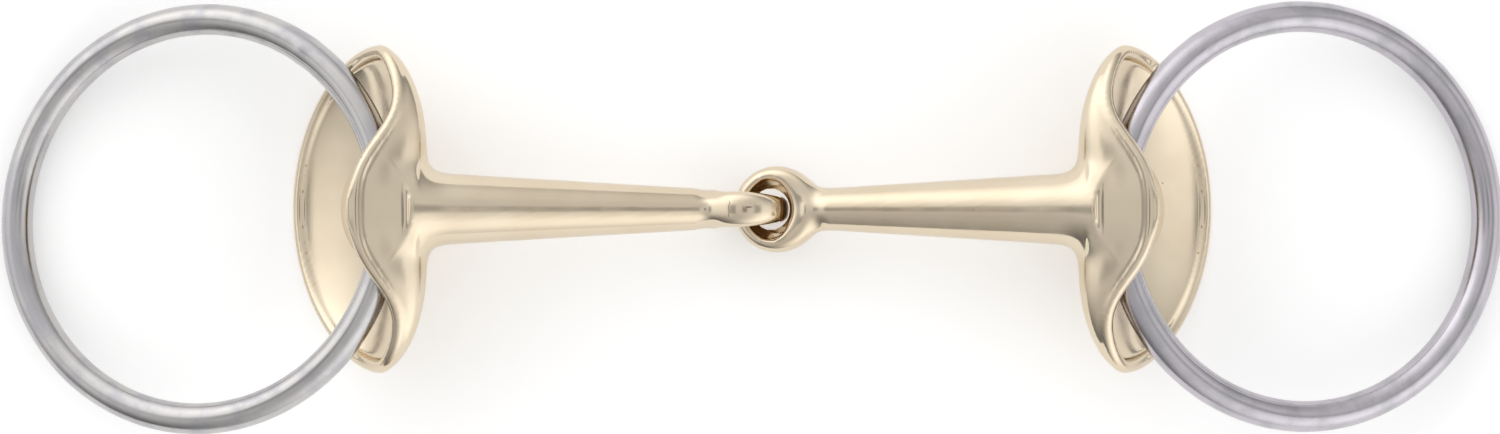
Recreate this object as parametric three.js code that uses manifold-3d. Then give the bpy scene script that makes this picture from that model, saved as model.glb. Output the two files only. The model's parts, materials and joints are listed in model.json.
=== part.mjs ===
// Single-jointed loose-ring snaffle bit with an oval lip guard ("wing") cast on the outer end of
// each mouthpiece half. Millimetres, +Z up. The bit lies flat on a table at z = 0, as it does when
// it is put down: the middle joint and the lower edge of each wing touch the table, the mouthpiece
// halves rise outwards from the joint, and the rings slope down from their holes to the table.
import * as THREE from 'three';
import { mergeVertices } from 'three/addons/utils/BufferGeometryUtils.js';
import Module from 'manifold-3d';

const wasm = await Module();
wasm.setup();

const { lerp, clamp, degToRad } = THREE.MathUtils;

// ---- driving dimensions ----
const RING_BORE = 70;            // clear diameter inside a ring
const RING_WIRE = 6;             // diameter of the ring's round wire
const LEFT_LENGTH = 68.5;        // centre of the left half's eye to the centre of its ring hole
const RIGHT_LENGTH = 65;         // the same on the right half
const HOLE_PLAY = 0.55;          // radial play of the wire in the middle of its hole
const MOUTH_PLAY = 1.15;         // radial play at the two mouths of the hole

const EYE_OUTER = 8.3;           // radius of an eye
const EYE_HOLE = 3.6;            // half length of its hole, along the half
const EYE_TIP_AXIAL = 2.45;      // half thickness along the eye's axis, at its tip
const EYE_ROOT_AXIAL = 3.6;      // and from its middle to the neck
// The holes' half width, and how far their middle lies from the eye's towards its tip.
const LEFT_HOLE = { width: 3.6, shift: 0.2 };
const RIGHT_HOLE = { width: 4.35, shift: 1.25 };
const EYE_PLAY_X = -0.3;         // the right eye's tip from the left eye's centre; they are pushed
const EYE_PLAY_Z = -0.25;        // together, and the right one has dropped a little

const NECK_START = 3.8;          // where the neck starts inside the eye's wire, from the eye's centre
const NECK_END = 12.0;           // where the neck has become round
const NECK_HALF_WIDTH = 6.7;     // half width of the neck's root, in the plane of the eye
const NECK_RADIUS = 4.1;
const CANNON_RADIUS = 7.1;       // where the cannon meets the wing

// The wing, its flare and the boss round the hole are measured from the centre of the ring hole.
const FLARE_START = -12;         // where the cannon starts to flare
const FLARE_END = -4.5;          // where the flare has run inside the wing
const FLARE_RADIUS = 13.5;
const FLARE_POWER = 2.2;
const WING_HALF_HEIGHT = 30.9;   // the oval's half height along Y, to the outside of its edge
const WING_FAR = 22.0;           // from the oval's centre down to its lower edge
const WING_NEAR = 11.2;          // from the oval's centre up to its upper edge
const WING_DROP = 4.4;           // the oval's centre lies this far below the cannon's axis
const WING_OUT = 1.0;            // and this far outside the hole
const WING_SLOPE = 0.48;         // the oval leans outwards towards its lower edge
const WING_BOW = 4.2;            // and bows this much further outwards there
const WING_DEPTH = 4.5;          // depth of the dish under its edge
const WING_THICK = 2.3;
const LOBE_RISE = 11.2;          // how far the upper edge swoops outwards over the hole
const LOBE_WIDTH = 16;
const LOBE_POWER = 2.5;
const BOSS_ROOT = -6;
const BOSS_END = 8.2;            // the boss's outer end is curved, and reaches this far
const BOSS_TOP = 7.0;            // upper and lower sides of the boss, from the cannon's axis
const BOSS_BOTTOM = -5.4;
const BOSS_HALF_WIDTH = 9.6;
const BOSS_NOSE_RADIUS = 13.3;

// How the bit lies on the table.
const LEFT_RING_LEAN = -4;       // degrees that a ring leans to one side, about the X axis
const RIGHT_RING_LEAN = -1.6;
const RING_SLIP = 1.6;           // degrees that both rings have turned in their holes, towards -Y
const TABLE_GAP = 0.02;          // what touches the table is modelled this far above it

const WIRE_RADIUS = RING_WIRE / 2;
const RING_RADIUS = RING_BORE / 2 + WIRE_RADIUS;
// Centre of the right eye to the middle of its wire, at its tip.
const EYE_TIP = (EYE_OUTER + EYE_HOLE + RIGHT_HOLE.shift) / 2;

// Fineness of the round shapes.
const EYE_SIDES = 10;
const EYE_TURNS = 28;
const BODY_SIDES = 24;
const WING_TURNS = 44;
const WALL_STEPS = 7;
const EDGE_STEPS = 3;
const HOLE_STEPS = 8;
const WIRE_SIDES = 12;
const RING_TURNS = 64;

// ---- materials ----
const alloy = new THREE.MeshStandardMaterial({ color: 0xcdbd98, roughness: 0.18, metalness: 1 });
const steel = new THREE.MeshStandardMaterial({ color: 0xb9b6bd, roughness: 0.22, metalness: 1 });

// ---- helpers ----
const smoothStep = (x, from, to) => THREE.MathUtils.smoothstep(x, from, to);

function toSolid(geometry) {
  const bare = new THREE.BufferGeometry();
  bare.setAttribute('position', geometry.getAttribute('position').clone());
  if (geometry.index) bare.setIndex(geometry.index.clone());
  const merged = mergeVertices(bare);
  const corners = merged.index.array;
  const kept = [];
  for (let i = 0; i < corners.length; i += 3) {
    const [a, b, c] = [corners[i], corners[i + 1], corners[i + 2]];
    if (a !== b && b !== c && c !== a) kept.push(a, b, c);
  }
  return new wasm.Manifold(new wasm.Mesh({
    numProp: 3,
    vertProperties: new Float32Array(merged.getAttribute('position').array),
    triVerts: new Uint32Array(kept),
  }));
}

function toGeometry(solid) {
  const mesh = solid.getMesh();
  const geometry = new THREE.BufferGeometry();
  geometry.setAttribute('position', new THREE.BufferAttribute(mesh.vertProperties, 3));
  geometry.setIndex(new THREE.BufferAttribute(mesh.triVerts, 1));
  geometry.computeVertexNormals();
  return geometry;
}

// A closed body along +X. section(t), with t from 0 to 1, gives the place x of a cross-section,
// its half widths in y and z, and the height of its middle.
function sectionBody(section, steps) {
  const tube = new THREE.CylinderGeometry(1, 1, 1, BODY_SIDES, steps);
  const position = tube.getAttribute('position');
  for (let i = 0; i < position.count; i += 1) {
    const { x, halfY, halfZ, midZ = 0 } = section(0.5 + position.getY(i));
    position.setXYZ(i, x, -position.getX(i) * halfY, midZ + position.getZ(i) * halfZ);
  }
  return toSolid(tube);
}

// ---- eye: a ring of oval wire in the XY plane, with a neck that turns into the cannon ----
// The wire grows thicker from the eye's tip to its middle.
function eyeAxial(x) {
  return lerp(EYE_TIP_AXIAL, EYE_ROOT_AXIAL, smoothStep(x, -EYE_OUTER, EYE_OUTER / 3));
}

// From the eye's centre to the edge of its hole, in the direction with this cosine along the half.
function holeReach(cosine, hole) {
  const steep = (cosine / EYE_HOLE) ** 2 + (1 - cosine ** 2) / hole.width ** 2;
  const tilt = (hole.shift * cosine) / EYE_HOLE ** 2;
  const inside = 1 - (hole.shift / EYE_HOLE) ** 2;
  return (Math.sqrt(tilt ** 2 + steep * inside) - tilt) / steep;
}

// The ring is turned as a lathe shape between radius 1 and 2, then fitted between hole and outside.
function eyeSolid(hole) {
  const outline = [];
  for (let i = 0; i <= EYE_SIDES; i += 1) {
    const turn = (i / EYE_SIDES) * 2 * Math.PI;
    outline.push(new THREE.Vector2(1.5 + 0.5 * Math.cos(turn), Math.sin(turn)));
  }
  const ring = new THREE.LatheGeometry(outline, EYE_TURNS);
  ring.rotateX(Math.PI / 2);
  const position = ring.getAttribute('position');
  for (let i = 0; i < position.count; i += 1) {
    const [x, y] = [position.getX(i), position.getY(i)];
    const reach = Math.hypot(x, y);
    const widened = lerp(holeReach(x / reach, hole), EYE_OUTER, reach - 1) / reach;
    position.setXYZ(i, x * widened, y * widened, position.getZ(i) * eyeAxial(x * widened));
  }
  return toSolid(ring);
}

function neckSection(t) {
  const x = lerp(NECK_START, NECK_END, t);
  const rounding = smoothStep(x, NECK_START, NECK_END);
  return {
    x,
    halfY: lerp(NECK_HALF_WIDTH, NECK_RADIUS, rounding),
    halfZ: lerp(eyeAxial(x), NECK_RADIUS, rounding),
  };
}

// ---- cannon: round, and thicker towards the wing ----
function cannonSolid(length) {
  const [start, end] = [NECK_END - 1, length + FLARE_START];
  return sectionBody((t) => {
    const radius = lerp(NECK_RADIUS, CANNON_RADIUS, t);
    return { x: lerp(start, end, t), halfY: radius, halfZ: radius };
  }, 2);
}

// The flare rounds the cannon into the inner side of the wing. Its top stays level.
function flareSection(t) {
  const radius = lerp(CANNON_RADIUS, FLARE_RADIUS, t ** FLARE_POWER);
  const halfZ = (radius + CANNON_RADIUS) / 2;
  return { x: lerp(FLARE_START, FLARE_END, t), halfY: radius, halfZ, midZ: CANNON_RADIUS - halfZ };
}

// ---- wing: an oval dish, open outwards, whose upper edge swoops out over the ring hole ----
// turn goes round the oval from its lower edge; climb goes from the middle of the dish (0) up to
// its edge (1); inner is the hollow side.
function wingPoint(turn, climb, inner) {
  const [up, across] = [-Math.cos(turn), Math.sin(turn)];
  const edgeY = WING_HALF_HEIGHT * across;
  const edgeZ = (up > 0 ? WING_NEAR : WING_FAR) * up;
  const reach = Math.hypot(edgeY, edgeZ);
  const shrink = inner ? (reach - WING_THICK) / reach : 1;
  const squareness = lerp(1, 0.72, smoothStep(up, 0, 1));
  const out = Math.sin(climb * Math.PI / 2) ** squareness;
  const rise = 1 - Math.max(0, Math.cos(climb * Math.PI / 2)) ** squareness;
  const z = edgeZ * shrink * out - WING_DROP;
  const lobe = LOBE_RISE * Math.exp(-((Math.abs(edgeY) / LOBE_WIDTH) ** LOBE_POWER));
  const depth = WING_DEPTH + (inner ? 0 : WING_THICK);
  const wall = depth + lobe * smoothStep(up, 0, 0.75);
  const below = Math.max(0, -(z + WING_DROP));
  const bow = WING_BOW * (below / WING_FAR) ** 2;
  const floor = WING_OUT - (z + WING_DROP) * WING_SLOPE + bow - depth;
  return new THREE.Vector3(floor + wall * rise, edgeY * shrink * out, z);
}

// The dish is a lathe grid: up the lip side, over the rounded edge and down the hollow side.
function wingSolid() {
  const rows = 2 * (WALL_STEPS + 1) + EDGE_STEPS - 1;
  const profile = Array.from({ length: rows }, (_, row) => new THREE.Vector2(1, row));
  const dish = new THREE.LatheGeometry(profile, WING_TURNS);
  const position = dish.getAttribute('position');
  for (let i = 0; i < position.count; i += 1) {
    const turn = ((Math.floor(i / rows) % WING_TURNS) / WING_TURNS) * 2 * Math.PI;
    const row = i % rows;
    let point;
    if (row <= WALL_STEPS) {
      point = wingPoint(turn, row / WALL_STEPS, false);
    } else if (row >= WALL_STEPS + EDGE_STEPS) {
      point = wingPoint(turn, (rows - 1 - row) / WALL_STEPS, true);
    } else {
      const bend = ((row - WALL_STEPS) / EDGE_STEPS) * Math.PI;
      point = wingPoint(turn, 1, false).lerp(wingPoint(turn, 1, true), (1 - Math.cos(bend)) / 2);
      point.x += (WING_THICK / 2) * Math.sin(bend);
    }
    position.setXYZ(i, point.x, point.y, point.z);
  }
  return toSolid(dish);
}

// ---- boss: the block behind the swooping edge that holds the ring; its outer end is an arc ----
function bossSection(t) {
  const x = lerp(BOSS_END, BOSS_ROOT, (1 - t) ** 2);
  const fromEnd = Math.min(BOSS_END - x, BOSS_NOSE_RADIUS);
  const arc = Math.sqrt(BOSS_NOSE_RADIUS ** 2 - (BOSS_NOSE_RADIUS - fromEnd) ** 2);
  return {
    x,
    halfY: clamp(arc, WIRE_RADIUS / 2, BOSS_HALF_WIDTH),
    halfZ: (BOSS_TOP - BOSS_BOTTOM) / 2,
    midZ: (BOSS_TOP + BOSS_BOTTOM) / 2,
  };
}

// The hole runs along Y and opens out towards its mouths, so that the curved wire can swing in it.
function holeSolid() {
  const half = BOSS_HALF_WIDTH + MOUTH_PLAY;
  const profile = [new THREE.Vector2(0, -half)];
  for (let i = 0; i <= HOLE_STEPS; i += 1) {
    const y = lerp(-half, half, i / HOLE_STEPS);
    const sag = RING_RADIUS - Math.sqrt(RING_RADIUS ** 2 - y ** 2);
    const play = lerp(HOLE_PLAY, MOUTH_PLAY, Math.abs(y / half));
    profile.push(new THREE.Vector2(WIRE_RADIUS + sag + play, y));
  }
  profile.push(new THREE.Vector2(0, half));
  return toSolid(new THREE.LatheGeometry(profile, BODY_SIDES));
}

// One mouthpiece half along +X, its eye's centre at the origin. The left half's eye is turned a
// quarter turn against the right half's, so that the two link.
function halfGeometry(length, eyeTurn, hole) {
  const eye = eyeSolid(hole).add(sectionBody(neckSection, 6)).rotate([eyeTurn, 0, 0]);
  const end = sectionBody(flareSection, 6)
    .add(wingSolid())
    .add(sectionBody(bossSection, 12))
    .subtract(holeSolid())
    .translate([length, 0, 0]);
  return toGeometry(eye.add(cannonSolid(length)).add(end));
}

// ---- ring: round wire bent through the hole, which is at the origin ----
// The facets lie round the true wire, so its outside is nowhere cut short.
function ringGeometry() {
  const radius = WIRE_RADIUS / Math.cos(Math.PI / WIRE_SIDES);
  const ring = new THREE.TorusGeometry(RING_RADIUS, radius, WIRE_SIDES, RING_TURNS);
  ring.translate(RING_RADIUS, 0, 0);
  return toGeometry(toSolid(ring));
}

// ---- how the bit lies ----
// Height of the lowest point beyond x, over the origin, of a shape that is turned by rotation.
function lowestBeyond(geometry, x, rotation) {
  const position = geometry.getAttribute('position');
  const point = new THREE.Vector3();
  let low = Infinity;
  for (let i = 0; i < position.count; i += 1) {
    point.fromBufferAttribute(position, i);
    if (point.x > x) low = Math.min(low, point.applyEuler(rotation).z);
  }
  return low;
}

// The angle, from 0 up to a steep one, at which a height that only grows comes up to the table.
function angleOnTable(heightAt, steepest) {
  let [low, high] = [0, steepest];
  for (let i = 0; i < 40; i += 1) {
    const middle = (low + high) / 2;
    if ((heightAt(middle) > TABLE_GAP) === (steepest > 0)) high = middle;
    else low = middle;
  }
  return low;
}

// How far a half rises when its wing lies on the table; eyeHeight gives its eye's height.
function restingRise(half, length, eyeHeight) {
  return angleOnTable((angle) => (
    eyeHeight(angle) + lowestBeyond(half, length / 2, new THREE.Euler(0, -angle, 0))
  ), Math.PI / 4);
}

// How far a ring slopes down when it hangs in a hole at a height and its outer end lies on the
// table.
function restingDrop(ring, height, lean) {
  return -angleOnTable((angle) => (
    height + lowestBeyond(ring, RING_RADIUS, new THREE.Euler(lean, -angle, -degToRad(RING_SLIP)))
  ), -Math.PI / 4);
}

const bit = new THREE.Group();

// sign is +1 on the right side and -1 on the left.
function addSide(side, sign, half, length, eye, rise, lean) {
  const arm = new THREE.Group();
  arm.position.copy(eye);
  arm.rotation.z = sign > 0 ? 0 : Math.PI;
  const mouthpiece = new THREE.Mesh(half, alloy);
  mouthpiece.name = `${side}_mouthpiece_half`;
  mouthpiece.rotation.y = -rise;
  arm.add(mouthpiece);
  bit.add(arm);

  const ring = new THREE.Mesh(ringGeometry(), steel);
  ring.name = `${side}_ring`;
  ring.position.set(
    eye.x + sign * length * Math.cos(rise),
    0,
    eye.z + length * Math.sin(rise),
  );
  const drop = restingDrop(ring.geometry, ring.position.z, lean);
  ring.rotation.set(lean, sign > 0 ? drop : Math.PI - drop, -degToRad(RING_SLIP));
  bit.add(ring);
}

const leftHalf = halfGeometry(LEFT_LENGTH, 90, LEFT_HOLE);
const leftEye = new THREE.Vector3(0, 0, EYE_OUTER + TABLE_GAP);
const leftRise = restingRise(leftHalf, LEFT_LENGTH, () => leftEye.z);

// The right eye's wire passes through the left eye; the fold turns about the middle of that wire.
const fold = new THREE.Vector3(leftEye.x + EYE_PLAY_X, 0, leftEye.z + EYE_PLAY_Z);
const rightHalf = halfGeometry(RIGHT_LENGTH, 0, RIGHT_HOLE);
const rightEyeHeight = (angle) => fold.z + EYE_TIP * Math.sin(angle);
const rightRise = restingRise(rightHalf, RIGHT_LENGTH, rightEyeHeight);
const rightEye = new THREE.Vector3(
  fold.x + EYE_TIP * Math.cos(rightRise),
  0,
  rightEyeHeight(rightRise),
);

addSide('left', -1, leftHalf, LEFT_LENGTH, leftEye, leftRise, degToRad(LEFT_RING_LEAN));
addSide('right', 1, rightHalf, RIGHT_LENGTH, rightEye, rightRise, degToRad(RIGHT_RING_LEAN));

// The origin is on the table, in the middle of the ground that the bit covers.
const middle = new THREE.Box3().setFromObject(bit, true).getCenter(new THREE.Vector3());
bit.position.set(-middle.x, -middle.y, 0);

export default bit;
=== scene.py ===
"""Looks of a single-jointed loose-ring snaffle bit with oval lip guards, around its CAD model.

The mouthpiece halves are cast and polished, so their parts run into each other with soft corners.
Each half is a distance field, in which its parts are joined and cut, skinned with quads. Lengths
are in millimetres until a mesh is made.
"""
import json
import math

import bpy
import numpy as np
from mathutils import Matrix, Quaternion, Vector
from mathutils.bvhtree import BVHTree
from mathutils.kdtree import KDTree


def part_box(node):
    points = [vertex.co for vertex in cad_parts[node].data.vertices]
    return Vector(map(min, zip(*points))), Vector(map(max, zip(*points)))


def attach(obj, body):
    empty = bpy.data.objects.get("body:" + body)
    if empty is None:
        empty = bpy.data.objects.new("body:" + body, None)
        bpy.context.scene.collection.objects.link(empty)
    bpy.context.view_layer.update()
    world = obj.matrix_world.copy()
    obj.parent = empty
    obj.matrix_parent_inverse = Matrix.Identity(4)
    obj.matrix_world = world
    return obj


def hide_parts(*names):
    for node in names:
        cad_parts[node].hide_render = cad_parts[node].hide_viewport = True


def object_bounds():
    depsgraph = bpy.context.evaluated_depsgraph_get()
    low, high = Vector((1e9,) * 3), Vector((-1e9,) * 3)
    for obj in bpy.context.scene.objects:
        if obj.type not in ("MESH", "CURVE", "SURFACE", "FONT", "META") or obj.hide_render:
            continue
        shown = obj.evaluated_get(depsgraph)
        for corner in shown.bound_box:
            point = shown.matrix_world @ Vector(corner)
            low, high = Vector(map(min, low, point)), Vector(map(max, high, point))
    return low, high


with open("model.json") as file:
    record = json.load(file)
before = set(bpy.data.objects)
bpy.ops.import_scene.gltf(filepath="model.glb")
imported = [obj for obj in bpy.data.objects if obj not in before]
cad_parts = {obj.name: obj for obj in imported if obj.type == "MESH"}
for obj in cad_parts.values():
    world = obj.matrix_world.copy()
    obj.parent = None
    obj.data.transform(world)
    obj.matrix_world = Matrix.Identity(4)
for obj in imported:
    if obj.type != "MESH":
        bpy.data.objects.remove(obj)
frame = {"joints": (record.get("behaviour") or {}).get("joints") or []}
cad_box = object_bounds()

MM = 0.001

# ---- design; that of the CAD model, but for small corrections to eyes, lobes and bosses ----
WIRE_RADIUS = 3.0
RING_RADIUS = 38.0
EYE_OUTER = 8.3              # radius of an eye
EYE_HOLE = 3.6               # half length of its hole, along the half
EYE_TIP_AXIAL = 2.45         # half thickness along the eye's axis, at the tip
EYE_ROOT_AXIAL = 3.4         # and from the eye's middle to the neck
EYE_FULLNESS = 2.6           # the wire's section; 2 would be an ellipse
LEFT_HOLE = (3.6, 0.2)       # the hole's half width, and its shift towards the eye's tip
RIGHT_HOLE = (3.8, 1.25)
HOLE_SPREAD_ALONG = 0.28     # how fast the eye's hole opens out to its two faces
HOLE_SPREAD_ACROSS = 0.7
EYE_PLAY_X = -0.3            # the right eye's tip from the left eye's centre
EYE_PLAY_Z = -0.25
NECK_X = 11.0                # where the cannon is thinnest, from the eye's centre
NECK_RADIUS = 4.1
ROOT_THINNING = 0.7          # the cannon is this much thinner where it comes out of the eye
CANNON_START = 6.2
CANNON_RADIUS = 7.1

# These are measured from the centre of the ring hole.
CANNON_END = -4.0
WING_HALF_HEIGHT = 30.9
WING_FAR = 22.0
WING_NEAR = 11.2
WING_DROP = 4.4
WING_OUT = 1.0
WING_SLOPE = 0.48
WING_BOW = 4.2
WING_DEPTH = 4.5
WING_SQUARENESS = 0.72       # how full the dish is in its upper half; 1 would be round
WALL_HALF = 1.0              # half thickness of the wing's wall
BEAD_RADIUS = 1.3            # the wing's edge is a rounded bead
FAR_INSET = 0.3              # its far side lies this much further in, so that it clears the table
LOBE_RISE = 9.9
LOBE_WIDTH = 16.0
LOBE_POWER = 3.2
LOBE_FULL = 0.75             # how far up the wing's wall takes the lobe's whole height
BOSS_ROOT = -5.0
BOSS_END = 8.2
BOSS_TOP = 6.4
BOSS_BOTTOM = -5.4
BOSS_HALF_WIDTH = 9.5
BOSS_NOSE_RADIUS = 13.3      # of the arc that its outer end is
BOSS_SQUARENESS = 3.2        # of its section; 2 would be an ellipse
HOLE_PLAY = 0.5
HOLE_FLARE = 0.06
HOLE_OVERRUN = 0.7           # the hole's cutter reaches this far out of the boss
HOLE_TOP_LESS = 0.5          # share of the wire's curve that the hole leaves out at its top
RING_CLEARANCE = 0.15        # between a half and its ring at either end of the ring's swing

# Softness of the corners between the parts of a half.
FILLET_WING = 6.0
FILLET_BOSS = 0.9
FILLET_EYE = 5.0             # in the plane of the eye
FILLET_EYE_SIDE = 2.0        # on its two faces
FILLET_BEAD = 0.4
BOSS_EDGE = 0.8
HOLE_EDGE = 0.5

# The grid of the fields, from the ring hole's centre; it reaches past the shape on all sides.
CELL = 0.36
GRID_END = 18.5
GRID_WING_START = -18
GRID_PAST_EYE = 10
GRID_SIDE = 32.5
GRID_TOP = 10
GRID_BOTTOM = -29.5
FAR_AWAY = 7.0               # distance that stands for "further than matters"
BEAD_NEAR = 3.0              # the wing's bead matters only this close to its wall

# Where the polishing wheel can't reach, the metal stays raw; these crevices also get painted shade.
CREVICE_REACH = 6.0                  # it needs this much free space; closer walls make a crevice, raw and painted with shade
TIP_RAW_AND_SHADE = 6.0                # the left eye is raw beyond this, inside the right eye's hole, where shade is also painted on
TIP_EDGE_FADE = 0.7


# ---------------------------------------------------------------- places from the frame
def joint(name):
    return next(j for j in frame["joints"] if j["name"] == name)


def joint_place(name):
    return Vector(joint(name)["pos_m"]) / MM


fold = joint_place("middle_fold")
left_hole = joint_place("left_ring_swing")
right_hole = joint_place("right_ring_swing")
left_eye = fold - Vector((EYE_PLAY_X, 0, EYE_PLAY_Z))
eye_tip = (EYE_OUTER + EYE_HOLE + RIGHT_HOLE[1]) / 2
right_eye = fold + eye_tip * (right_hole - fold).normalized()


def ring_place(side, degrees=0):
    """Directions from the ring hole to the ring's centre and along the hole, after a swing."""
    swing = joint(f"{side}_ring_swing")
    low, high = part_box(f"{side}_ring")
    axis = Vector(swing["axis"]).normalized()
    out = ((low + high) / 2 - Vector(swing["pos_m"])).normalized()
    out.rotate(Quaternion(axis, math.radians(degrees)))
    return out, axis


# ---------------------------------------------------------------- distance fields
def soft_join(a, b, k):
    """Union of two fields with a fillet about k wide."""
    h = np.clip(k - np.abs(a - b), 0, None) / k
    return np.minimum(a, b) - h * h * h * (k / 6)


def soft_cut(a, b, k):
    """Field a with b taken out, and the edge rounded."""
    return -soft_join(-a, b, k)


def ramp(x, low, high):
    """0 below low, 1 above high, smooth between; works for numbers and arrays."""
    t = np.clip((x - low) / (high - low), 0, 1)
    return t * t * (3 - 2 * t)


def eye_field(x, across, axial, hole):
    """A ring of oval wire between the hole and the eye's outside, thicker towards the neck."""
    width, shift = hole
    half = EYE_TIP_AXIAL + (EYE_ROOT_AXIAL - EYE_TIP_AXIAL) * ramp(x, -EYE_OUTER, EYE_OUTER / 3)
    away = np.maximum(np.hypot(x, across), 1e-6)
    cosine = x / away
    steep = (cosine / EYE_HOLE) ** 2 + (1 - cosine ** 2) / width ** 2
    tilt = shift * cosine / EYE_HOLE ** 2
    reach = (np.sqrt(tilt ** 2 + steep * (1 - (shift / EYE_HOLE) ** 2)) - tilt) / steep
    radial = (EYE_OUTER - reach) / 2
    off = away - reach - radial
    scaled = np.abs(off / radial) ** EYE_FULLNESS + np.abs(axial / half) ** EYE_FULLNESS
    return (scaled ** (1 / EYE_FULLNESS) - 1) * (radial + half) / 2


def eye_hole_field(x, across, axial, hole):
    """The eye's oval hole, which opens out towards the eye's two faces."""
    width, shift = hole
    depth = np.abs(axial)
    along = EYE_HOLE + HOLE_SPREAD_ALONG * depth
    side = width + HOLE_SPREAD_ACROSS * depth
    return (np.hypot((x + shift) / along, across / side) - 1) * along


def cannon_field(x, y, z, length):
    taper = np.clip((x - NECK_X) / (length + CANNON_END - NECK_X), 0, 1)
    radius = NECK_RADIUS + (CANNON_RADIUS - NECK_RADIUS) * taper
    side = np.hypot(y, z) - radius + ROOT_THINNING * (1 - ramp(x, CANNON_START, NECK_X))
    return np.maximum(side, np.maximum(CANNON_START - x, x - (length + CANNON_END)))


def wing_middle(turn, climb):
    """A point in the middle of the wing's wall. turn goes round the oval from its lower edge, and
    climb from the middle of the dish (0) to its edge (1)."""
    up, across = -math.cos(turn), math.sin(turn)
    edge_y = WING_HALF_HEIGHT * across
    edge_z = (WING_NEAR if up > 0 else WING_FAR) * up
    reach = math.hypot(edge_y, edge_z)
    shrink = (reach - BEAD_RADIUS - FAR_INSET * max(0.0, -up)) / reach
    squareness = 1 + (WING_SQUARENESS - 1) * ramp(up, 0, 1)
    out = math.sin(climb * math.pi / 2) ** squareness
    rise = 1 - max(0.0, math.cos(climb * math.pi / 2)) ** squareness
    z = edge_z * shrink * out - WING_DROP
    lobe = LOBE_RISE * math.exp(-(abs(edge_y) / LOBE_WIDTH) ** LOBE_POWER)
    depth = WING_DEPTH + BEAD_RADIUS
    wall = depth + lobe * ramp(up, 0, LOBE_FULL)
    bow = WING_BOW * (max(0.0, -(z + WING_DROP)) / WING_FAR) ** 2
    floor = WING_OUT - (z + WING_DROP) * WING_SLOPE + bow - depth
    return Vector((floor + wall * rise, edge_y * shrink * out, z))


def wing_sheet(turns=240, climbs=60):
    """The middle of the wing's wall as a fine sheet of triangles, for measuring distances."""
    points = [wing_middle(0, 0)]
    faces = []
    for c in range(1, climbs + 1):
        points += [wing_middle(2 * math.pi * t / turns, c / climbs) for t in range(turns)]
    for t in range(turns):
        after = (t + 1) % turns
        faces.append((0, 1 + t, 1 + after))
        for c in range(climbs - 1):
            a, b = 1 + c * turns, 1 + (c + 1) * turns
            faces.append((a + t, b + t, b + after))
            faces.append((a + t, b + after, a + after))
    return BVHTree.FromPolygons(points, faces)


def wing_edge(turns=1500):
    """The line in the middle of the wing's edge, as close points."""
    edge = KDTree(turns)
    for t in range(turns):
        edge.insert(wing_middle(2 * math.pi * t / turns, 1), t)
    edge.balance()
    return edge


def wing_field(x, y, z):
    """The wing on a grid of axes x, y and z. It is the same on both sides of y = 0."""
    sheet, edge = wing_sheet(), wing_edge()
    wall = np.full((len(x), len(y), len(z)), FAR_AWAY, np.float32)
    bead = wall.copy()
    half = len(y) // 2
    for i, px in enumerate(x):
        for j in range(half, len(y)):
            for k, pz in enumerate(z):
                place = (px, y[j], pz)
                found = sheet.find_nearest(place, FAR_AWAY)[3]
                if found is None:
                    continue
                wall[i, j, k] = found - WALL_HALF
                if found < BEAD_NEAR:
                    bead[i, j, k] = edge.find(place)[2] - BEAD_RADIUS
    whole = soft_join(wall, bead, FILLET_BEAD)
    whole[:, :half] = whole[:, :half:-1]
    return whole


def boss_field(x, y, z):
    """The block that holds the ring, rounded over its top and bottom, its outer end an arc."""
    half_z = (BOSS_TOP - BOSS_BOTTOM) / 2
    height = np.abs(z - BOSS_TOP + half_z) / half_z
    reach = (np.abs(y) / BOSS_HALF_WIDTH) ** BOSS_SQUARENESS + height ** BOSS_SQUARENESS
    side = (reach ** (1 / BOSS_SQUARENESS) - 1) * half_z
    from_middle = np.maximum(x - BOSS_END + BOSS_NOSE_RADIUS, 0)
    ends = np.maximum(BOSS_ROOT - x, np.hypot(from_middle, y) - BOSS_NOSE_RADIUS)
    return -soft_join(-side, -ends, BOSS_EDGE)


def ring_hole_field(x, y, z):
    """The hole along Y. It opens out towards its mouths, less so at the top, where the curved
    wire never comes."""
    reach = BOSS_HALF_WIDTH + HOLE_OVERRUN
    inside = np.minimum(np.abs(y), reach)
    sag = RING_RADIUS - np.sqrt(RING_RADIUS ** 2 - inside ** 2)
    away = np.hypot(x, z)
    share = 1 - HOLE_TOP_LESS * ramp(z / np.maximum(away, 1e-6), -0.2, 0.8)
    radius = WIRE_RADIUS + HOLE_PLAY + share * sag + HOLE_FLARE * inside
    return np.maximum(away - radius, np.abs(y) - reach)


def ring_field(x, y, z, out, axis):
    """A ring's wire, which passes through the hole's centre."""
    along, side, off = (x * d.x + y * d.y + z * d.z for d in (out, axis, out.cross(axis)))
    return np.hypot(np.hypot(along - RING_RADIUS, side) - RING_RADIUS, off) - WIRE_RADIUS


def grid_axis(low, high):
    """Grid planes, in whole cells from 0, that reach from low to high."""
    return CELL * np.arange(math.floor(low / CELL), math.ceil(high / CELL) + 1)


y_axis, z_axis = grid_axis(-GRID_SIDE, GRID_SIDE), grid_axis(GRID_BOTTOM, GRID_TOP)
wing_axis = grid_axis(GRID_WING_START, GRID_END)
wing_grid = wing_field(wing_axis, y_axis, z_axis)


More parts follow.
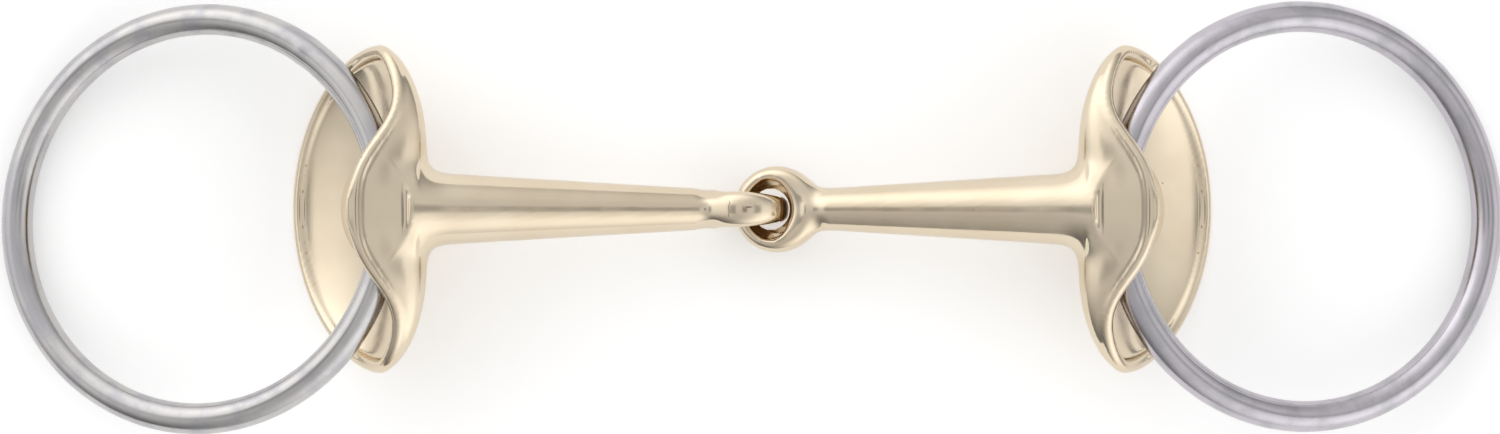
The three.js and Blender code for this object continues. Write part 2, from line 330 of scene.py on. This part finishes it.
def half_field(length, eye_turned, hole, swung_rings, x_axis):
    """A half, from the ring hole's centre; its eye is at x = -length. It keeps clear of
    swung_rings, which are its ring's directions at the two ends of the swing."""
    x, y, z = np.meshgrid(x_axis, y_axis, z_axis, indexing="ij", sparse=True)
    across, axial = (z, y) if eye_turned else (y, z)
    along = x + length
    off_face = 1 - ramp(np.abs(axial) / EYE_ROOT_AXIAL, 0.35, 0.95)
    fillet = FILLET_EYE_SIDE + (FILLET_EYE - FILLET_EYE_SIDE) * off_face
    eye = eye_field(along, across, axial, hole)
    rod = soft_join(cannon_field(along, y, z, length), eye, fillet)
    rod = soft_cut(rod, eye_hole_field(along, across, axial, hole), HOLE_EDGE)
    wing = np.full(rod.shape, FAR_AWAY, np.float32)
    wing[-len(wing_axis):] = wing_grid
    whole = soft_join(rod, wing, FILLET_WING)
    whole = soft_join(whole, boss_field(x, y, z), FILLET_BOSS)
    whole = soft_cut(whole, ring_hole_field(x, y, z), HOLE_EDGE)
    near = slice(-len(wing_axis), None)
    for out, axis in swung_rings:
        ring = ring_field(x[near], y, z, out, axis) - RING_CLEARANCE
        whole[near] = soft_cut(whole[near], ring, RING_CLEARANCE)
    return whole


# ---------------------------------------------------------------- skinning a field with quads
def skin(field, axes):
    """Surface nets: one vertex in each cell that the surface crosses, one quad across each edge."""
    inside = field < 0
    sums = np.zeros([n - 1 for n in field.shape] + [3], np.float32)
    hits = np.zeros([n - 1 for n in field.shape], np.float32)
    corner = [slice(0, -1), slice(1, None)]
    for axis in range(3):
        low, high = [slice(None)] * 3, [slice(None)] * 3
        low[axis], high[axis] = corner
        a, b = field[tuple(low)], field[tuple(high)]
        crossed = inside[tuple(low)] != inside[tuple(high)]
        place = np.where(crossed, a / np.where(crossed, a - b, 1), 0)
        u, v = [i for i in range(3) if i != axis]
        for du in (0, 1):
            for dv in (0, 1):
                pick = [slice(None)] * 3
                pick[u], pick[v] = corner[du], corner[dv]
                hit = crossed[tuple(pick)]
                hits += hit
                sums[..., axis] += np.where(hit, place[tuple(pick)], 0)
                sums[..., u] += du * hit
                sums[..., v] += dv * hit
    cells = hits > 0
    number = np.full(cells.shape, -1)
    number[cells] = np.arange(cells.sum())
    start = np.array([a[0] for a in axes])
    points = start + CELL * (np.argwhere(cells) + sums[cells] / hits[cells][:, None])
    quads = []
    for axis in range(3):
        low, high = [slice(1, -1)] * 3, [slice(1, -1)] * 3
        low[axis], high[axis] = corner
        leaving = inside[tuple(low)] & ~inside[tuple(high)]
        entering = ~inside[tuple(low)] & inside[tuple(high)]
        u, v = (axis + 1) % 3, (axis + 2) % 3
        for crossing, flip in ((leaving, False), (entering, True)):
            at = np.argwhere(crossing)
            at[:, u] += 1
            at[:, v] += 1
            ring = []
            for du, dv in ((0, 0), (-1, 0), (-1, -1), (0, -1)):
                cell = at.copy()
                cell[:, u] += du
                cell[:, v] += dv
                ring.append(number[tuple(cell.T)])
            quads.append(np.stack(ring[::-1] if flip else ring, axis=1))
    return points, np.concatenate(quads)


def relax(points, quads, rounds):
    """Evens out a skin without shrinking it: each round smooths, then swells back a little more."""
    smooth, swell = 0.5, -0.53
    edges = np.concatenate([quads[:, [i, (i + 1) % 4]] for i in range(4)])
    edges = np.concatenate([edges, edges[:, ::-1]])
    count = np.bincount(edges[:, 0], minlength=len(points))[:, None]
    points = points.copy()
    for weight in (smooth, swell) * rounds:
        total = np.zeros_like(points)
        for axis in range(3):
            total[:, axis] = np.bincount(edges[:, 0], points[edges[:, 1], axis], len(points))
        points += weight * (total / count - points)
    return points


def sample(field, axes, points):
    """The field at any points, from the eight grid points round each. It grows with the distance
    outside the grid."""
    free = (points - np.array([a[0] for a in axes])) / CELL
    at = np.clip(free, 0, np.array(field.shape) - 1.001)
    cell = at.astype(int)
    part = at - cell
    total = CELL * np.linalg.norm(free - at, axis=1)
    for corner in np.ndindex(2, 2, 2):
        weight = np.prod(np.where(corner, part, 1 - part), axis=1)
        total += weight * field[tuple((cell + corner).T)]
    return total


# ---------------------------------------------------------------- mouthpiece halves
def unpolished_and_crevice_shade(field, axes, points, normals):
    """1 in the holes and crevices, where a polishing wheel can't reach and shade falls, and 0 on
    open surfaces; it marks raw metal and painted shade.
    """
    open_space = sample(field, axes, points + CREVICE_REACH * normals) / CREVICE_REACH
    return 1 - ramp(open_space, 0.3, 0.75)


def half_mesh(name, length, eye_turned, hole, swung_rings):
    axes = (grid_axis(-length - GRID_PAST_EYE, GRID_END), y_axis, z_axis)
    field = half_field(length, eye_turned, hole, swung_rings, axes[0])
    points, quads = skin(field, axes)
    points = relax(points, quads, 6)
    mesh = bpy.data.meshes.new(name)
    mesh.from_pydata((points * MM).tolist(), [], quads.tolist())
    mesh.polygons.foreach_set("use_smooth", [True] * len(mesh.polygons))
    normals = np.array([n.vector for n in mesh.vertex_normals])
    from_eye = points + (length, 0, 0)
    # Raw metal where the wheel can't reach, and painted shade in the same crevices and holes.
    raw_and_painted_shade = unpolished_and_crevice_shade(field, axes, points, normals)
    if eye_turned:
        # The left eye's tip, inside the right eye's hole: raw metal, with the shade of that hole
        # painted on.
        tip = -TIP_RAW_AND_SHADE
        in_other_eye = 1 - ramp(from_eye[:, 0], tip - TIP_EDGE_FADE, tip + TIP_EDGE_FADE)
        raw_and_painted_shade = np.maximum(raw_and_painted_shade, in_other_eye)
    mesh.attributes.new("unpolished_and_crevice_shade", "FLOAT", "POINT").data.foreach_set("value", raw_and_painted_shade)
    place = mesh.attributes.new("place", "FLOAT_VECTOR", "POINT")
    place.data.foreach_set("vector", from_eye.ravel())
    return mesh


def add_piece(name, mesh, body, node):
    piece = bpy.data.objects.new(name, mesh)
    bpy.context.scene.collection.objects.link(piece)
    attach(piece, body)
    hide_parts(node)
    return piece


def add_half(side, eye, hole, eye_turned, eye_hole):
    """The half is modelled along +X and turned so that it runs from its eye to its hole."""
    out = (hole - eye).normalized()
    ahead = Vector((1, 0, 0)) if out.x > 0 else Vector((-1, 0, 0))
    sideways = Vector((0, 0, 1)).cross(ahead).normalized()
    unturn = Matrix((out, sideways, out.cross(sideways)))
    swung_rings = [[unturn @ direction for direction in ring_place(side, degrees)]
                   for degrees in joint(f"{side}_ring_swing")["range_deg"]]
    length = (hole - eye).length
    mesh = half_mesh(f"{side}_half_skin", length, eye_turned, eye_hole, swung_rings)
    mesh.transform(Matrix.Translation(hole * MM) @ unturn.transposed().to_4x4())
    return add_piece(f"{side}_mouthpiece", mesh, f"{side}_half", f"{side}_mouthpiece_half")


# ---------------------------------------------------------------- rings
def add_ring(side, hole):
    """Round wire, butt-welded where the ring is closed. brush says where a point is along and
    round the wire, for the marks on it."""
    out, axis = ring_place(side)
    centre = hole + RING_RADIUS * out
    normal = out.cross(axis)
    turns, sides = 320, 40
    weld_turn, weld_width, weld_rise = 2.2, 0.03, 0.06
    points, faces, brush, brush_w = [], [], [], []
    for t in range(turns):
        a = 2 * math.pi * t / turns
        spoke = math.cos(a) * out + math.sin(a) * axis
        wire = WIRE_RADIUS - weld_rise * (1 - math.exp(-((a - weld_turn) / weld_width) ** 2))
        for s in range(sides):
            b = 2 * math.pi * s / sides
            points.append(centre + (RING_RADIUS + wire * math.cos(b)) * spoke
                          + wire * math.sin(b) * normal)
            brush += [WIRE_RADIUS * math.cos(b), WIRE_RADIUS * math.sin(b)]
            brush.append(RING_RADIUS * math.cos(a))
            brush_w.append(RING_RADIUS * math.sin(a))
            n, m = (t + 1) % turns, (s + 1) % sides
            faces.append((t * sides + s, n * sides + s, n * sides + m, t * sides + m))
    mesh = bpy.data.meshes.new(f"{side}_ring_skin")
    mesh.from_pydata([p * MM for p in points], [], faces)
    mesh.polygons.foreach_set("use_smooth", [True] * len(mesh.polygons))
    mesh.attributes.new("brush", "FLOAT_VECTOR", "POINT").data.foreach_set("vector", brush)
    mesh.attributes.new("brush_w", "FLOAT", "POINT").data.foreach_set("value", brush_w)
    return add_piece(f"{side}_loose_wire_ring", mesh, f"{side}_loose_ring", f"{side}_ring")


# ---------------------------------------------------------------- materials
class Nodes:
    """A node tree, with short calls that add nodes to it."""

    def __init__(self, tree):
        self.tree = tree

    def put(self, socket, value):
        if hasattr(value, "links"):
            self.tree.links.new(value, socket)
        else:
            socket.default_value = value

    def math(self, operation, *values):
        node = self.tree.nodes.new("ShaderNodeMath")
        node.operation = operation
        for socket, value in zip(node.inputs, values):
            self.put(socket, value)
        return node.outputs[0]

    def stretch(self, vector, scale):
        node = self.tree.nodes.new("ShaderNodeVectorMath")
        node.operation = "MULTIPLY"
        self.put(node.inputs[0], vector)
        node.inputs[1].default_value = scale
        return node.outputs[0]

    def attribute(self, name, output):
        node = self.tree.nodes.new("ShaderNodeAttribute")
        node.attribute_name = name
        return node.outputs[output]

    def noise(self, vector, scale, detail=2.0, w=None):
        node = self.tree.nodes.new("ShaderNodeTexNoise")
        self.put(node.inputs["Vector"], vector)
        node.inputs["Scale"].default_value = scale
        node.inputs["Detail"].default_value = detail
        if w is not None:
            node.noise_dimensions = "4D"
            self.put(node.inputs["W"], w)
        return node.outputs["Fac"]

    def span(self, value, low, high, to_low=0.0, to_high=1.0):
        """Takes low..high smoothly to to_low..to_high."""
        node = self.tree.nodes.new("ShaderNodeMapRange")
        node.interpolation_type = "SMOOTHSTEP"
        for socket, number in zip(node.inputs, (value, low, high, to_low, to_high)):
            self.put(socket, number)
        return node.outputs[0]

    def mix(self, amount, first, second):
        node = self.tree.nodes.new("ShaderNodeMix")
        node.data_type = "RGBA"
        self.put(node.inputs["Factor"], amount)
        self.put(node.inputs["A"], first)
        self.put(node.inputs["B"], second)
        return node.outputs["Result"]

    def bump(self, height, depth, below=None):
        """Raises the surface by depth, in millimetres, where height is 1."""
        node = self.tree.nodes.new("ShaderNodeBump")
        node.inputs["Distance"].default_value = depth * MM
        self.put(node.inputs["Height"], height)
        if below is not None:
            self.put(node.inputs["Normal"], below)
        return node.outputs[0]


class Metal(Nodes):
    """A metal, whose colour, roughness and surface come from nodes."""

    def __init__(self, name):
        self.material = bpy.data.materials.new(name)
        self.material.use_nodes = True
        super().__init__(self.material.node_tree)
        self.shader = self.tree.nodes["Principled BSDF"]
        self.shader.inputs["Metallic"].default_value = 1

    def finish(self, color, roughness, normal):
        self.put(self.shader.inputs["Base Color"], color)
        self.put(self.shader.inputs["Roughness"], roughness)
        self.put(self.shader.inputs["Normal"], normal)
        return self.material


GOLD = (0.72, 0.62, 0.475, 1)
GOLD_WARM = (0.70, 0.59, 0.44, 1)
# Raw metal in the crevices; the darker of the two is painted shade.
GOLD_RAW = (0.62, 0.36, 0.10, 1)
GOLD_RAW_SHADE = (0.16, 0.085, 0.03, 1)
# Near-black: painted shade in the pits and the slit, and the dark braze of the seam.
PIT_DARK = (0.10, 0.07, 0.04, 1)
STEEL_LEFT = (0.53, 0.515, 0.505, 1)
STEEL_RIGHT = (0.53, 0.50, 0.54, 1)
STEEL_DULL = (0.44, 0.43, 0.45, 1)


def alloy_material(name, marks):
    """Polished casting: broad waves, fine polishing lines, a few pits with painted shade in them,
    and raw metal where no wheel reaches, with painted shade in those crevices. marks adds the
    half's own marks, as a darkening mask."""
    r = Metal(name)
    place = r.attribute("place", "Vector")
    ragged = r.math("MULTIPLY", r.math("SUBTRACT", r.noise(place, 0.9, 3), 0.5), 0.7)
    # Mask of raw metal, which also paints the shade of the crevices and holes.
    raw_and_painted_shade = r.span(r.math("ADD", r.attribute("unpolished_and_crevice_shade", "Fac"), ragged), 0.35, 0.75)
    lines = r.noise(r.stretch(place, (0.35, 6, 6)), 1, 2)
    cross_lines = r.noise(r.stretch(place, (5, 0.5, 3)), 1, 2)
    waves = r.noise(place, 0.13, 1)
    grains = r.noise(place, 3.5, 4)
    tint = r.span(r.noise(place, 0.08, 3), 0.35, 0.65)

    # Pits: shallow dents whose inner shade is painted near-black.
    cells = r.tree.nodes.new("ShaderNodeTexVoronoi")
    r.put(cells.inputs["Vector"], place)
    cells.inputs["Scale"].default_value = 0.16
    near = r.span(cells.outputs["Distance"], 0.016, 0.032, 1, 0)
    draw = r.math("FRACT", r.math("MULTIPLY", cells.outputs["Color"], 7.0))
    few = r.math("GREATER_THAN", draw, 0.6)
    pits = r.math("MULTIPLY", near, few)
    dark = r.math("MAXIMUM", pits, marks(r, place))

    clean = r.mix(tint, GOLD, GOLD_WARM)
    # Grainy raw metal colour; its near-black end is painted shade in the crevices.
    raw_and_shade_color = r.mix(r.span(grains, 0.35, 0.7), GOLD_RAW_SHADE, GOLD_RAW)
    color = r.mix(dark, r.mix(raw_and_painted_shade, clean, raw_and_shade_color), PIT_DARK)
    polish = r.span(r.noise(place, 0.25, 3), 0.3, 0.7, 0.09, 0.16)
    roughness = r.math("ADD", polish, r.math("MULTIPLY", raw_and_painted_shade, 0.3))
    normal = r.bump(waves, 0.10)
    normal = r.bump(r.math("ADD", lines, cross_lines), 0.0016, normal)
    normal = r.bump(r.math("MULTIPLY", raw_and_painted_shade, grains), 0.08, normal)
    normal = r.bump(r.math("MULTIPLY", dark, -1.0), 0.05, normal)
    return r.finish(color, roughness, normal)


def no_marks(r, place):
    """No marks; it stands in for seam_marks on the right half."""
    return 0.0


def seam_marks(r, place):
    """The brazed seam where the left eye was closed after linking, and a small slit beside it,
    whose shade is painted in.
    """
    parts = r.tree.nodes.new("ShaderNodeSeparateXYZ")
    r.put(parts.inputs[0], place)
    x, y, z = parts.outputs
    wander = r.math("MULTIPLY", r.math("SUBTRACT", r.noise(place, 0.8, 2), 0.5), 0.8)
    off_seam = r.math("ABSOLUTE", r.math("SUBTRACT", r.math("ADD", x, wander), 4.6))
    seam = r.math("MULTIPLY", r.span(off_seam, 0.03, 0.12, 0.55, 0),
                  r.span(r.math("ABSOLUTE", y), 1.2, 1.8, 1, 0))
    along = r.math("DIVIDE", r.math("SUBTRACT", x, 1.1), 0.75)
    side = r.math("DIVIDE", r.math("ADD", y, 0.4), 0.16)
    off_slit = r.math("ADD", r.math("MULTIPLY", along, along), r.math("MULTIPLY", side, side))
    # The slit is painted shade: a dark streak with a shallow dent.
    slit = r.math("MULTIPLY", r.span(off_slit, 0.5, 1.3, 0.8, 0), r.span(z, 3, 5))
    return r.math("MAXIMUM", seam, slit)


def steel_material(name, tone):
    """Stainless wire: lines drawn along it, dull patches of wear, and short scratches."""
    r = Metal(name)
    brush, brush_w = r.attribute("brush", "Vector"), r.attribute("brush_w", "Fac")
    slow_w = r.math("MULTIPLY", brush_w, 0.2)
    lines = r.noise(r.stretch(brush, (4, 4, 0.2)), 1, 3, w=slow_w)
    streak_w = r.math("MULTIPLY", brush_w, 0.045)
    streaks = r.noise(r.stretch(brush, (1.1, 1.1, 0.045)), 1, 2, w=streak_w)
    patch_w = r.math("MULTIPLY", brush_w, 0.25)
    patches = r.span(r.noise(brush, 0.25, 4, w=patch_w), 0.42, 0.68)
    dents = r.noise(brush, 0.5, 1, w=r.math("MULTIPLY", brush_w, 0.5))
    color = r.mix(patches, tone, STEEL_DULL)
    polish = r.span(streaks, 0.3, 0.7, 0.13, 0.24)
    roughness = r.math("ADD", polish, r.math("MULTIPLY", patches, 0.08))
    normal = r.bump(dents, 0.02)
    normal = r.bump(streaks, 0.03, normal)
    normal = r.bump(lines, 0.003, normal)
    return r.finish(color, roughness, normal)


# ---------------------------------------------------------------- stage
def add_floor():
    """A white table that shines faintly of its own, so that it comes out white."""
    mesh = bpy.data.meshes.new("floor")
    reach = 3.0
    corners = [(-reach, -reach, 0), (reach, -reach, 0), (reach, reach, 0), (-reach, reach, 0)]
    mesh.from_pydata(corners, [], [(0, 1, 2, 3)])
    floor = bpy.data.objects.new("floor", mesh)
    bpy.context.scene.collection.objects.link(floor)
    material = bpy.data.materials.new("floor_pale")
    material.use_nodes = True
    shader = material.node_tree.nodes["Principled BSDF"]
    shader.inputs["Base Color"].default_value = (0.97, 0.97, 0.97, 1)
    shader.inputs["Roughness"].default_value = 0.9
    shader.inputs["Emission Color"].default_value = (1, 1, 1, 1)
    shader.inputs["Emission Strength"].default_value = 0.2
    mesh.materials.append(material)


def add_world():
    """A white light tent: dimmer overhead and along two seams beside the dark camera at the top.
    Its front left and back right are the brighter sides."""
    world = bpy.data.worlds.new("light_tent")
    world.use_nodes = True
    tree = world.node_tree
    r = Nodes(tree)
    coordinates = tree.nodes.new("ShaderNodeTexCoord")
    parts = tree.nodes.new("ShaderNodeSeparateXYZ")
    tree.links.new(coordinates.outputs["Generated"], parts.inputs[0])
    x, y, z = parts.outputs
    ceiling = r.span(z, 0.60, 0.98, 1.10, 0.78)
    wall = r.span(z, 0.0, 0.45, 0.75, 1.0)
    corners = r.math("MULTIPLY", r.math("MULTIPLY", x, y), -1.3)
    back = r.math("MULTIPLY", y, 0.18)
    sides = r.math("ADD", 1.0, r.math("ADD", corners, back))
    seam = r.math("MULTIPLY", r.span(z, 0.66, 0.80), r.span(z, 0.88, 0.93, 1, 0))
    seam = r.math("MULTIPLY", seam, r.span(r.math("ABSOLUTE", y), 0.05, 0.26, 0.45, 0))
    sides = r.math("MULTIPLY", sides, r.math("SUBTRACT", 1.0, seam))
    light = r.math("MULTIPLY", r.math("MULTIPLY", ceiling, wall), sides)
    camera = r.span(z, 0.990, 0.9975, 1.0, 0.4)
    background = tree.nodes["Background"]
    tree.links.new(r.math("MULTIPLY", light, camera), background.inputs["Strength"])
    background.inputs["Color"].default_value = (1, 1, 1, 1)
    bpy.context.scene.world = world


def add_camera():
    """Straight above, a little left of the middle; the rings just fit the picture's width."""
    distance, aside = 0.62, -0.00043
    low, high = cad_box
    data = bpy.data.cameras.new("camera")
    data.sensor_width = 36
    data.lens = data.sensor_width * (distance - WIRE_RADIUS * MM) / (high[0] - low[0])
    camera = bpy.data.objects.new("camera", data)
    camera.location = (aside, 0, distance)
    bpy.context.scene.collection.objects.link(camera)
    bpy.context.scene.camera = camera


add_camera()
add_floor()
add_world()
bpy.context.scene.view_settings.view_transform = "Standard"

left_half = add_half("left", left_eye, left_hole, True, LEFT_HOLE)
right_half = add_half("right", right_eye, right_hole, False, RIGHT_HOLE)
left_half.data.materials.append(alloy_material("bit_alloy_left", seam_marks))
right_half.data.materials.append(alloy_material("bit_alloy_right", no_marks))
left_ring = add_ring("left", left_hole)
right_ring = add_ring("right", right_hole)
left_ring.data.materials.append(steel_material("ring_steel_left", STEEL_LEFT))
right_ring.data.materials.append(steel_material("ring_steel_right", STEEL_RIGHT))
